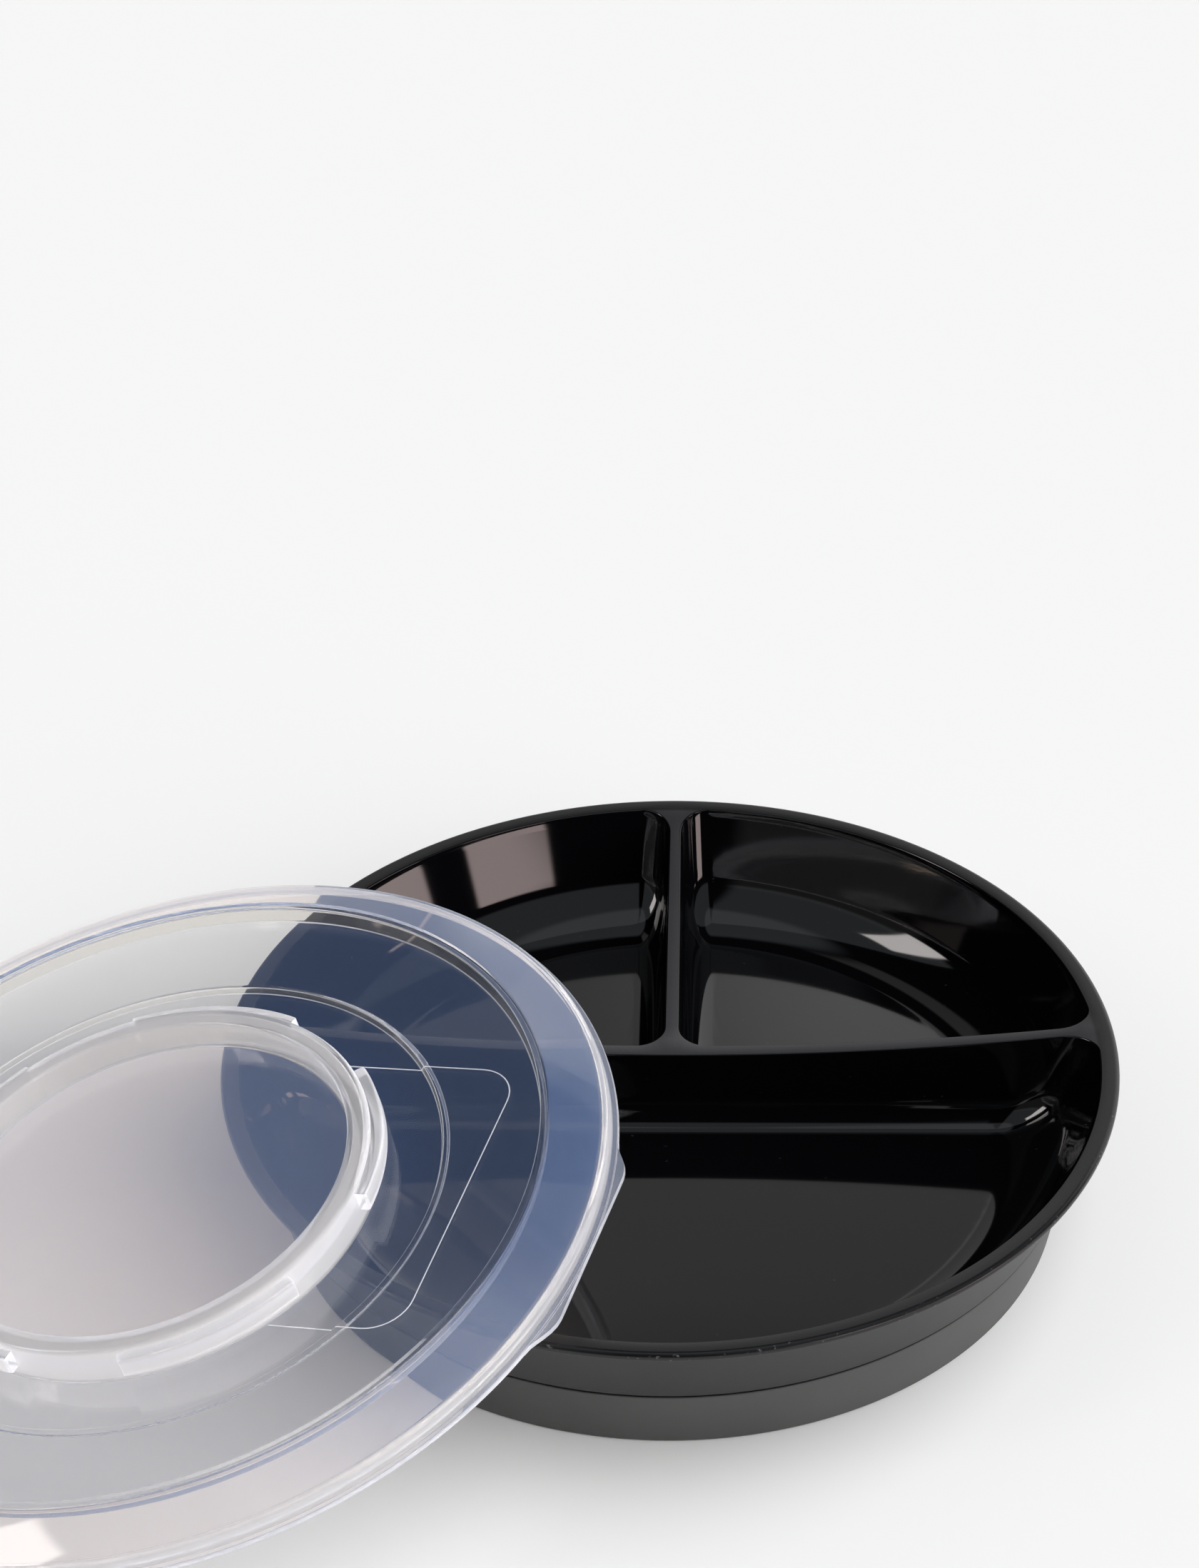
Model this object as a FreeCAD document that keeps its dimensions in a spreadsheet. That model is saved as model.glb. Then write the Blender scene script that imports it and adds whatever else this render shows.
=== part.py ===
import FreeCAD
import Part
import Sketcher
import math
import os
import re

# Round divided lunch plate with a press-on lid, lid taken off and leaning on the rim.
# Millimetres. The origin is on the plate's axis, at the level of the table. +Z is up.

doc = FreeCAD.newDocument("lunch_box")

# Driving dimensions

SIZES = [
    ("rim_radius", 90.0, "outside radius of the tray's rim"),
    ("tray_height", 32.7, "table to the crest of the rim"),
    ("rim_width", 3.7, "width of the rim's level top"),
    ("rim_round", 1.0, "rounding of the rim's outer top edge"),
    ("lip_height", 2.0, "height of the rim's outer face"),
    ("lip_taper", 0.15, "how far the rim's outer face leans in at its lower edge"),
    ("lip_slope", 0.5, "rise of the rim's underside towards its edge"),
    ("wall_upright", 1.9, "height of the upright wall between the bowl's arc and the crest"),
    ("wall", 2.0, "thickness of the tray's wall and floor"),
    ("floor_height", 10.6, "table to the compartments' floor"),
    ("divider_offset", 9.35, "long divider behind the plate's axis"),
    ("long_divider_width", 2.8, "thickness of the long divider at its top"),
    ("rear_divider_width", 2.4, "thickness of the rear divider at its top"),
    ("divider_draft_angle", 2.5, "draft of the divider's faces in degrees"),
    ("divider_dip", 5.9, "how far the divider's top sinks at the axis"),
    ("dip_overlap", 0.6, "how far that dip runs on over the rim's inner edge"),
    ("corner_round", 6.0, "rounding of the compartments' corners"),
    ("foot_set_in", 12.8, "rim's outside to the foot ring's outside"),
    ("foot_width", 2.2, "radial width of the foot ring"),
    ("socket_wall", 2.0, "thickness of the twist socket's wall"),
    ("socket_gap", 0.4, "table to the lower edge of the twist socket"),
    ("hook_height", 1.1, "height of each hook in the twist socket"),
    ("hook_angle", 18.0, "angle that each hook spans"),
    ("hook_start_angle", 18.0, "direction of the first hook"),
    ("base_set_in", 11.7, "rim's outside to the grip skirt's outside at the table"),
    ("skirt_top_set_in", 9.2, "rim's outside to the grip skirt's outside at its top"),
    ("base_round", 0.8, "rounding of the grip skirt's lower edge"),
    ("pad_thickness", 1.2, "thickness of the non-slip pad under the foot"),
    ("bond_gap", 0.1, "room between the tray and the skirt moulded on it"),
    ("lid_wall", 1.1, "thickness of the lid"),
    ("lid_clearance", 0.4, "room between the rim and the lid's skirt"),
    ("lid_skirt_wall", 1.3, "thickness of the lid's skirt"),
    ("lid_flange", 1.2, "width of the flange at the skirt's lower edge"),
    ("lid_flange_height", 1.2, "thickness of that flange"),
    ("lid_skirt_drop", 3.2, "lid's datum to the lower edge of its skirt"),
    ("snap_bead", 0.6, "how far the snap bead stands into the skirt"),
    ("lid_shoulder", 1.6, "height of the lid's edge above its datum"),
    ("lid_shoulder_round", 1.2, "rounding of the lid's outer top edge"),
    ("crest_height", 6.6, "height of the raised ring above the datum"),
    ("crest_width", 1.6, "flat top of the raised ring"),
    ("stack_clearance", 0.6, "room between a stacked foot and the lid's recess"),
    ("riser_draft", 0.6, "how far each step of the lid leans"),
    ("recess_level", 2.4, "height of the recess that takes a stacked foot"),
    ("step_width", 12.4, "twist boss's outside to the lid's inner step"),
    ("inner_level", 1.2, "height of the ring round the twist boss"),
    ("boss_outer", 46.3, "outside radius of the twist boss"),
    ("boss_width", 4.5, "radial width of the twist boss"),
    ("boss_top", 10.4, "height of the twist boss"),
    ("boss_round", 1.6, "rounding of the twist boss's outer top edge"),
    ("disc_level", 2.4, "height of the disc inside the twist boss"),
    ("lug_reach", 2.3, "how far each lug stands out of the twist boss"),
    ("lug_height", 4.0, "height of each lug"),
    ("hook_clearance", 0.3, "room between a hook and the lug that it turns under"),
    ("lug_angle", 44.0, "angle that each lug spans"),
    ("lug_count", 5, "number of lugs and of hooks"),
    ("lug_start_angle", -16.0, "direction of the first lug from the lid's high side"),
    ("twist_clearance", 0.5, "room between the twist boss and its socket"),
    ("tab_reach", 1.0, "how far the lift tab stands past the flange"),
    ("tab_length", 40.0, "length of the lift tab's outer edge"),
    ("tab_slope", 6.0, "length over which each end of the tab runs out"),
    ("tab_round", 5.0, "rounding of the lift tab's corners"),
    ("tab_thickness", 1.6, "thickness of the lift tab"),
    ("tab_angle", -38.0, "direction of the lift tab from the lid's high side"),
    ("lean_angle", 199.3, "direction in which the leaning lid falls"),
    ("lean_distance", 107.9, "plate's axis to the leaning lid's centre"),
    ("lean_offset", -5.1, "leaning lid's centre to the side of that direction"),
    ("rest_gap", 0.2, "room at the two places where the lid rests"),
]

sizes = doc.addObject("Spreadsheet::Sheet", "sizes")
for row, (alias, number, note) in enumerate(SIZES, start=1):
    sizes.set("A%d" % row, note)
    sizes.set("B%d" % row, str(number))
    sizes.setAlias("B%d" % row, alias)
doc.recompute()

ALIASES = [alias for alias, number, note in SIZES]
ALIAS_WORD = re.compile(r"\b(" + "|".join(sorted(ALIASES, key=len, reverse=True)) + r")\b")

# Formulas that several sub-parts share, in terms of the sheet's aliases

RIM_INNER = "(rim_radius - rim_width)"
BOWL_Z = "(tray_height - wall_upright)"
BOWL_ROUND = "(%s - floor_height)" % BOWL_Z
BOWL_R = "(%s - %s)" % (RIM_INNER, BOWL_ROUND)
OUTER_ROUND = "(%s + wall)" % BOWL_ROUND
UNDERSIDE = "(floor_height - wall)"
LIP_BOTTOM = "(tray_height - lip_height)"
FOOT_BOTTOM = "(pad_thickness + bond_gap)"
FOOT_OUTER = "(rim_radius - foot_set_in)"
FOOT_INNER = "(%s - foot_width)" % FOOT_OUTER
BASE_RADIUS = "(rim_radius - base_set_in)"
SKIRT_TOP = "(rim_radius - skirt_top_set_in)"
LUG_RADIUS = "(boss_outer + lug_reach)"
SOCKET_INNER = "(%s + twist_clearance)" % LUG_RADIUS
SKIRT_INNER = "(rim_radius + lid_clearance)"
SKIRT_OUTER = "(%s + lid_skirt_wall)" % SKIRT_INNER
FLANGE_RADIUS = "(%s + lid_flange)" % SKIRT_OUTER
RECESS_RADIUS = "(%s + stack_clearance)" % BASE_RADIUS
STEP_RADIUS = "(boss_outer + step_width)"
BOSS_INNER = "(boss_outer - boss_width)"
LUG_FOOT = "(recess_level + socket_gap + hook_height + hook_clearance)"
CREST_OUTER = "(%s + riser_draft + crest_width)" % RECESS_RADIUS


def bound(formula):
    """The formula with every alias named as a cell of the sheet."""
    return ALIAS_WORD.sub(r"sizes.\1", formula)


def value(formula):
    """The formula's present number."""
    return float(sizes.evalExpression(formula))


def outer_arc_z(radius, growth="0"):
    """Height of the bowl's outside, grown by a gap, at a given radius."""
    reach = "(%s + %s)" % (OUTER_ROUND, growth)
    return "(%s - sqrt(%s ^ 2 - (%s - %s) ^ 2))" % (BOWL_Z, reach, radius, BOWL_R)


def outer_arc_r(height):
    """Radius of the bowl's outside at a given height."""
    return "(%s + sqrt(%s ^ 2 - (%s - %s) ^ 2))" % (BOWL_R, OUTER_ROUND, BOWL_Z, height)


def add_body(name):
    """An empty sub-part."""
    body = doc.addObject("PartDesign::Body", name)
    body.Label = name
    return body


def origin_plane(body, role):
    """One of the sub-part's own origin planes."""
    return next(item for item in body.Origin.OriginFeatures if item.Role == role)


def pin(sketch, geometry, end, axis_constraint, axis, formula):
    """Hold one coordinate of a corner at a formula's value."""
    if abs(value(formula)) < 1e-9:
        sketch.addConstraint(Sketcher.Constraint("PointOnObject", geometry, end, axis))
        return
    index = sketch.addConstraint(
        Sketcher.Constraint(axis_constraint, -1, 1, geometry, end, value(formula)))
    sketch.setExpression("Constraints[%d]" % index, bound(formula))


def add_outline(body, name, role, corners, level="0"):
    """A closed, fully bound sketch.

    Each corner is (x, y) for a straight run to the next corner, or (x, y, radius) for an arc to
    the next corner. A positive radius turns left along the way, a negative one turns right.
    """
    sketch = body.newObject("Sketcher::SketchObject", name)
    sketch.AttachmentSupport = [(origin_plane(body, role), "")]
    sketch.MapMode = "FlatFace"
    sketch.setExpression("AttachmentOffset.Base.z", bound(level))
    places = [FreeCAD.Vector(value(corner[0]), value(corner[1]), 0) for corner in corners]
    ends = []
    for index, corner in enumerate(corners):
        start = places[index]
        stop = places[(index + 1) % len(corners)]
        if len(corner) == 2:
            ends.append((sketch.addGeometry(Part.LineSegment(start, stop), False), 1, 2))
            continue
        radius = value(corner[2])
        middle = arc_middle(start, stop, radius)
        arc = Part.Arc(start, middle, stop)
        geometry = sketch.addGeometry(arc, False)
        first = 1 if sketch.getPoint(geometry, 1).distanceToPoint(start) < 1e-6 else 2
        ends.append((geometry, first, 3 - first))
        hold = sketch.addConstraint(Sketcher.Constraint("Radius", geometry, abs(radius)))
        sketch.setExpression("Constraints[%d]" % hold, bound("abs(%s)" % corner[2]))
    for index, (geometry, first, last) in enumerate(ends):
        following, following_first, following_last = ends[(index + 1) % len(ends)]
        sketch.addConstraint(
            Sketcher.Constraint("Coincident", geometry, last, following, following_first))
        pin(sketch, geometry, first, "DistanceX", -2, corners[index][0])
        pin(sketch, geometry, first, "DistanceY", -1, corners[index][1])
    return sketch


def arc_middle(start, stop, radius):
    """Middle point of the shorter arc between two points."""
    half = (stop - start) * 0.5
    side = FreeCAD.Vector(-half.y, half.x, 0).normalize()
    rise = abs(radius) - math.sqrt(max(radius ** 2 - half.Length ** 2, 0.0))
    return start + half - side * math.copysign(rise, radius)


def revolve(body, sketch, name, kind="PartDesign::Revolution"):
    """A full turn of a sketch about the upright axis."""
    feature = body.newObject(kind, name)
    feature.Profile = sketch
    feature.ReferenceAxis = (sketch, ["V_Axis"])
    feature.Angle = 360.0
    doc.recompute()
    return feature


def cut_away(body, sketch, name):
    """Remove all that the sketch covers, through the whole sub-part, both ways."""
    before = body.Shape.Volume
    pocket = body.newObject("PartDesign::Pocket", name)
    pocket.Profile = sketch
    pocket.SideType = "Symmetric"
    pocket.setExpression("Length", bound("4 * rim_radius"))
    doc.recompute()
    if not body.Shape.Volume < before:
        raise RuntimeError("%s cuts nothing" % name)
    return pocket


def raise_pad(body, sketch, name, height):
    """A straight boss on a level sketch."""
    pad = body.newObject("PartDesign::Pad", name)
    pad.Profile = sketch
    pad.setExpression("Length", bound(height))
    doc.recompute()
    return pad


def repeat_round(body, feature, name):
    """Copies of a feature at equal steps about the upright axis."""
    pattern = body.newObject("PartDesign::PolarPattern", name)
    pattern.Originals = [feature]
    pattern.Axis = (origin_plane(body, "Z_Axis"), [""])
    pattern.Angle = 360.0
    pattern.setExpression("Occurrences", bound("lug_count"))
    body.Tip = pattern
    doc.recompute()
    return pattern


def round_edges(body, base, names, name, radius):
    """Round the named edges of a feature."""
    fillet = body.newObject("PartDesign::Fillet", name)
    fillet.Base = (base, names)
    fillet.setExpression("Radius", bound(radius))
    doc.recompute()
    return fillet


def ring_sector(inner, outer, middle, span):
    """Corners of a sector of a ring, as formulas."""
    low = "(%s - %s / 2)" % (middle, span)
    high = "(%s + %s / 2)" % (middle, span)

    def at(radius, angle, arc=None):
        corner = ("%s * cos(%s * 1 deg)" % (radius, angle), "%s * sin(%s * 1 deg)" % (radius, angle))
        return corner if arc is None else corner + (arc,)

    return [at(inner, low), at(outer, low, outer), at(outer, high), at(inner, high, "-%s" % inner)]


# The three compartments, as solids of the room inside them

OVERRUN = "2"
ROOM_TOP = "(tray_height + %s)" % OVERRUN
LEAN_ABOVE = "%s * tan(divider_draft_angle * 1 deg)" % OVERRUN
LEAN_BELOW = "tray_height * tan(divider_draft_angle * 1 deg)"
BEYOND = "(2 * rim_radius)"


def add_bowl_room(body):
    """The room of the undivided bowl."""
    corners = [
        ("0", "floor_height"),
        (BOWL_R, "floor_height", BOWL_ROUND),
        (RIM_INNER, BOWL_Z),
        (RIM_INNER, ROOM_TOP),
        ("0", ROOM_TOP),
    ]
    outline = add_outline(body, body.Name + "_outline", "XZ_Plane", corners)
    return revolve(body, outline, body.Name + "_bowl")


def drafted_half(face, side):
    """Corners of the half that a drafted divider face closes off, seen along the divider.

    face is the face's place at the rim's height, and side is 1 where the room lies on the
    positive side of it, or -1.
    """
    top = "(%s - (%d) * %s)" % (face, side, LEAN_ABOVE)
    bottom = "(%s + (%d) * %s)" % (face, side, LEAN_BELOW)
    beyond = "(%d) * %s" % (-side, BEYOND)
    return [
        (bottom, "0"),
        (top, ROOM_TOP),
        (beyond, ROOM_TOP),
        (beyond, "0"),
    ]


def wall_edges(shape):
    """Names of the edges where the drafted faces meet each other, the wall and the floor."""
    top = value(ROOM_TOP)
    names = []
    for number, edge in enumerate(shape.Edges, start=1):
        faces = shape.ancestorsOfType(edge, Part.Face)
        drafted = [face for face in faces if is_drafted(face)]
        if drafted and edge.BoundBox.ZMin < top - 1e-6:
            names.append("Edge%d" % number)
    return names


def is_drafted(face):
    """True for a flat face that is neither level nor the bowl's own."""
    if not isinstance(face.Surface, Part.Plane):
        return False
    return abs(face.Surface.Axis.z) < 0.5


def add_front_room():
    """Room of the large front compartment."""
    body = add_body("front_room")
    add_bowl_room(body)
    face = "(divider_offset - long_divider_width / 2)"
    half = add_outline(body, "front_side", "YZ_Plane", drafted_half(face, -1))
    cut = cut_away(body, half, "front_cut")
    round_edges(body, cut, wall_edges(cut.Shape), "front_round", "corner_round")
    return body


def add_rear_room(name, side):
    """Room of one small rear compartment, on the right for side 1 and on the left for -1."""
    body = add_body(name)
    add_bowl_room(body)
    long_face = "(divider_offset + long_divider_width / 2)"
    behind = add_outline(body, name + "_behind", "YZ_Plane", drafted_half(long_face, 1))
    cut_away(body, behind, name + "_behind_cut")
    rear_face = "((%d) * rear_divider_width / 2)" % side
    beside = add_outline(body, name + "_beside", "XZ_Plane", drafted_half(rear_face, side))
    cut = cut_away(body, beside, name + "_beside_cut")
    round_edges(body, cut, wall_edges(cut.Shape), name + "_round", "corner_round")
    return body


# The tray

def add_tray():
    """Black tray: rim, bowl, foot ring, twist socket, three compartments and dipped divider."""
    rooms = [add_front_room(), add_rear_room("rear_right_room", 1), add_rear_room("rear_left_room", -1)]
    body = add_body("divided_tray")
    lip_foot = outer_arc_r(LIP_BOTTOM)
    lip_edge = "(rim_radius - lip_taper)"
    socket_outer = "(%s + socket_wall)" % SOCKET_INNER
    corners = [
        ("0", UNDERSIDE),
        (SOCKET_INNER, UNDERSIDE),
        (SOCKET_INNER, "socket_gap"),
        (socket_outer, "socket_gap"),
        (socket_outer, UNDERSIDE),
        (FOOT_INNER, UNDERSIDE),
        (FOOT_INNER, FOOT_BOTTOM),
        (FOOT_OUTER, FOOT_BOTTOM),
        (FOOT_OUTER, outer_arc_z(FOOT_OUTER), OUTER_ROUND),
        (lip_foot, LIP_BOTTOM),
        (lip_edge, "%s + lip_slope" % LIP_BOTTOM),
        ("rim_radius", "tray_height - rim_round", "rim_round"),
        ("rim_radius - rim_round", "tray_height"),
        ("0", "tray_height"),
    ]
    outline = add_outline(body, "tray_outline", "XZ_Plane", corners)
    revolve(body, outline, "tray_blank")
    hook = add_outline(
        body, "hook_outline", "XY_Plane",
        ring_sector("(boss_outer + twist_clearance)", "(%s + socket_wall / 2)" % SOCKET_INNER,
                    "hook_start_angle", "hook_angle"), "socket_gap")
    hook_pad = raise_pad(body, hook, "hook", "hook_height")
    repeat_round(body, hook_pad, "hooks")
    before = body.Shape.Volume
    hollow = body.newObject("PartDesign::Boolean", "compartments")
    hollow.Type = "Cut"
    hollow.setObjects(rooms)
    doc.recompute()
    if not body.Shape.Volume < before:
        raise RuntimeError("the compartments cut nothing")
    before = body.Shape.Volume
    dip_edge = "(%s + dip_overlap)" % RIM_INNER
    dip_round = "((%s ^ 2 + divider_dip ^ 2) / (2 * divider_dip))" % dip_edge
    dip = add_outline(body, "dip_outline", "XZ_Plane", [
        ("0", "tray_height - divider_dip", dip_round),
        (dip_edge, "tray_height"),
        (dip_edge, ROOM_TOP),
        ("0", ROOM_TOP),
    ])
    revolve(body, dip, "divider_dip_cut", "PartDesign::Groove")
    if not body.Shape.Volume < before:
        raise RuntimeError("the dip cuts nothing")
    return body


# The soft skirt round the foot

def add_grip_skirt():
    """Soft band round the foot ring, with the non-slip pad that wraps under it."""
    body = add_body("grip_skirt")
    seat = "(%s + bond_gap)" % FOOT_OUTER
    reach = "(%s + bond_gap)" % OUTER_ROUND
    corners = [
        (FOOT_INNER, "0"),
        ("%s - base_round" % BASE_RADIUS, "0", "base_round"),
        (BASE_RADIUS, "base_round"),
        (SKIRT_TOP, outer_arc_z(SKIRT_TOP, "bond_gap"), "-%s" % reach),
        (seat, outer_arc_z(seat, "bond_gap")),
        (seat, "pad_thickness"),
        (FOOT_INNER, "pad_thickness"),
    ]
    outline = add_outline(body, "grip_outline", "XZ_Plane", corners)
    revolve(body, outline, "grip_band")
    return body


# The lid, drawn level about its own axis and then leaned on the rim

def add_lid():
    """Clear lid: snap skirt, lift tab, raised ring, stepped recess and twist boss with lugs."""
    body = add_body("lid")
    cone_foot = "(%s - lid_shoulder_round)" % SKIRT_OUTER
    under_shoulder = "(lid_shoulder - lid_wall)"
    skirt_foot = "(-lid_skirt_drop)"
    flange_top = "(lid_flange_height - lid_skirt_drop)"
    inside_crest = "(%s + riser_draft)" % RECESS_RADIUS
    corners = [
        ("0", "disc_level"),
        ("0", "disc_level - lid_wall"),
        ("%s + lid_wall" % BOSS_INNER, "disc_level - lid_wall"),
        ("%s + lid_wall" % BOSS_INNER, "boss_top - lid_wall"),
        ("boss_outer - lid_wall", "boss_top - lid_wall"),
        ("boss_outer - lid_wall", "inner_level - lid_wall"),
        ("%s + lid_wall" % STEP_RADIUS, "inner_level - lid_wall"),
        ("%s + riser_draft + lid_wall" % STEP_RADIUS, "recess_level - lid_wall"),
        ("%s + lid_wall" % RECESS_RADIUS, "recess_level - lid_wall"),
        ("%s + lid_wall" % inside_crest, "crest_height - lid_wall"),
        ("%s - lid_wall / 2" % SKIRT_INNER, under_shoulder),
        (SKIRT_INNER, under_shoulder),
        (SKIRT_INNER, "%s + snap_bead" % flange_top),
        ("%s - snap_bead" % SKIRT_INNER, flange_top),
        (SKIRT_INNER, skirt_foot),
        (FLANGE_RADIUS, skirt_foot),
        (FLANGE_RADIUS, flange_top),
        (SKIRT_OUTER, flange_top),
        (SKIRT_OUTER, "lid_shoulder - lid_shoulder_round", "lid_shoulder_round"),
        (cone_foot, "lid_shoulder"),
        (CREST_OUTER, "crest_height"),
        (inside_crest, "crest_height"),
        (RECESS_RADIUS, "recess_level"),
        ("%s + riser_draft" % STEP_RADIUS, "recess_level"),
        (STEP_RADIUS, "inner_level"),
        ("boss_outer", "inner_level"),
        ("boss_outer", "boss_top - boss_round", "boss_round"),
        ("boss_outer - boss_round", "boss_top"),
        (BOSS_INNER, "boss_top"),
        (BOSS_INNER, "disc_level"),
    ]
    outline = add_outline(body, "lid_outline", "XZ_Plane", corners)
    revolve(body, outline, "lid_shell")
    lug = add_outline(
        body, "lug_outline", "XY_Plane",
        ring_sector("(boss_outer - lid_wall / 2)", LUG_RADIUS, "lug_start_angle", "lug_angle"),
        LUG_FOOT)
    lug_pad = raise_pad(body, lug, "lug", "lug_height")
    repeat_round(body, lug_pad, "lugs")
    tab = add_outline(body, "tab_outline", "XY_Plane", tab_corners(), "-lid_skirt_drop")
    raise_pad(body, tab, "lift_tab", "tab_thickness")
    body.Placement = leaning_place()
    return body


def tab_corners():
    """Corners of the lift tab, drawn across its own direction and then turned to it."""
    root = "(%s + lid_skirt_wall / 2)" % SKIRT_INNER
    edge = "(%s + tab_reach)" % FLANGE_RADIUS
    half = "(tab_length / 2)"
    foot = "(%s + tab_slope)" % half
    root_depth = "(sqrt(%s ^ 2 - %s ^ 2))" % (root, foot)
    slope = "atan2(%s - %s; tab_slope)" % (edge, root_depth)
    cut = "(tab_round * tan(%s / 2))" % slope

    def turned(along, out, arc=None):
        corner = (
            "%s * cos(tab_angle * 1 deg) - %s * sin(tab_angle * 1 deg)" % (out, along),
            "%s * sin(tab_angle * 1 deg) + %s * cos(tab_angle * 1 deg)" % (out, along),
        )
        return corner if arc is None else corner + (arc,)

    low_out = "(%s - %s * sin(%s))" % (edge, cut, slope)
    low_along = "(%s + %s * cos(%s))" % (half, cut, slope)
    flat_along = "(%s - %s)" % (half, cut)
    return [
        turned("-%s" % foot, root_depth),
        turned("-%s" % low_along, low_out, "tab_round"),
        turned("-%s" % flat_along, edge),
        turned(flat_along, edge, "tab_round"),
        turned(low_along, low_out),
        turned(foot, root_depth, "-%s" % root),
    ]


def leaning_place():
    """Place of the lid with its flange on the table and its disc on the rim's outer rounding."""
    gap = value("rest_gap")
    flange = value(FLANGE_RADIUS)
    drop = value("lid_skirt_drop")
    round_r = value("rim_radius - rim_round")
    round_z = value("tray_height - rim_round")
    reach = value("rim_round") + gap
    under_disc = value("disc_level - lid_wall")
    distance = value("lean_distance")

    def centre_height(tilt):
        return gap + flange * math.sin(tilt) + drop * math.cos(tilt)

    def room_over_rim(tilt):
        up = (round_z - centre_height(tilt)) * math.cos(tilt)
        return under_disc - reach - up + (distance - round_r) * math.sin(tilt)

    low = 0.0
    high = math.radians(60.0)
    for halving in range(60):
        middle = (low + high) / 2
        if room_over_rim(middle) < 0:
            low = middle
        else:
            high = middle
    tilt = (low + high) / 2
    turn = FreeCAD.Rotation(FreeCAD.Vector(0, 0, 1), value("lean_angle") - 180.0)
    lean = FreeCAD.Rotation(FreeCAD.Vector(0, 1, 0), -math.degrees(tilt))
    centre = turn.multVec(FreeCAD.Vector(-distance, value("lean_offset"), 0))
    centre.z = centre_height(tilt)
    print("lid leans %.2f degrees, centre %.2f %.2f %.2f" % (
        math.degrees(tilt), centre.x, centre.y, centre.z))
    return FreeCAD.Placement(centre, turn.multiply(lean))


# Build, check and write

def check_document():
    """Stop if any object failed."""
    for item in doc.Objects:
        if "Invalid" in item.State or "Error" in item.State:
            raise RuntimeError("%s failed: %s" % (item.Name, item.State))


def write_node(item):
    """Write one sub-part, after looking at its solid."""
    shape = item.Shape
    if shape.isNull() or not shape.isValid():
        raise RuntimeError("%s has no sound shape" % item.Label)
    box = shape.BoundBox
    print("%s: %d solid, %.0f mm3, X %.2f to %.2f, Y %.2f to %.2f, Z %.2f to %.2f" % (
        item.Label, len(shape.Solids), shape.Volume,
        box.XMin, box.XMax, box.YMin, box.YMax, box.ZMin, box.ZMax))
    shape.exportStep(os.path.join("parts", item.Label + ".step"))


nodes = [add_tray(), add_grip_skirt(), add_lid()]
doc.recompute()
check_document()
os.makedirs("parts", exist_ok=True)
for node in nodes:
    write_node(node)
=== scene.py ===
# %% [markdown]
# # A divided lunch plate and its clear press-on lid
# The real object is three mouldings: a black tray with three compartments, a soft grip skirt moulded
# round its foot, and a milky clear lid that is taken off and leans on the tray's rim.
# The CAD solids carry the sizes. This lesson models each piece again with finer rounds and gives it
# the finish of the real one: polished, satin and grained plastic, soft rubber, and clouded clear
# plastic. Radii and heights are written in millimetres, while Blender works in metres.

import math

import bmesh
import bpy
import numpy as np
from mathutils import Matrix, Vector
from mathutils.geometry import delaunay_2d_cdt


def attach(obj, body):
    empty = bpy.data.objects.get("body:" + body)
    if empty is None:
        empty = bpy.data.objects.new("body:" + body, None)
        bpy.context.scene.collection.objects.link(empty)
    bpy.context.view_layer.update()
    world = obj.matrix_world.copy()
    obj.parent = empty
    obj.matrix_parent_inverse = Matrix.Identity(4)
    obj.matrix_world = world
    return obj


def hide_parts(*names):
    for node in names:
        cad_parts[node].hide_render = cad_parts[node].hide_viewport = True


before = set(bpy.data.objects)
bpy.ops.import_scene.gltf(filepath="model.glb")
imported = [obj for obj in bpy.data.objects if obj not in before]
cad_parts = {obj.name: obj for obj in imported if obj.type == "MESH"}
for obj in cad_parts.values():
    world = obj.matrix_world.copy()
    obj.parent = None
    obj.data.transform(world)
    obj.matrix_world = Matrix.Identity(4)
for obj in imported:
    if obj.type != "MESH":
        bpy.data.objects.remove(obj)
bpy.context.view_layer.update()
MM = 0.001

# %% [markdown]
# ## Sections that are drawn
# All three mouldings are round, so each one starts as half of its section, as on a lathe.
# A section could be typed in as a list of vertices, or drawn as a curve. Here one vertex is pulled
# along with the extrude operator, and the spin operator carries it round each rounded corner, so
# the list of corners stays as short as on a drawing: radius, height and the rounding of the corner.


# %% Start a section as one point
def start_section(name, radius, height):
    """Leaves a new piece in edit mode with one selected vertex."""
    bpy.ops.object.select_all(action="DESELECT")
    bpy.ops.mesh.primitive_plane_add(size=MM, location=(radius * MM, 0, height * MM))
    piece = bpy.context.object
    piece.name = piece.data.name = name
    bpy.ops.object.transform_apply()
    bpy.ops.object.mode_set(mode="EDIT")
    bpy.ops.mesh.select_mode(type="VERT")
    bpy.ops.mesh.select_all(action="SELECT")
    bpy.ops.mesh.merge(type="CENTER")
    return piece


# %% Draw a section by extruding and spinning the point
LARGE_ROUND = 1.0  # mm
LARGE_STEP, SMALL_STEP = 12, 18  # degrees of turn for each step of a large or a small rounding


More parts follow.
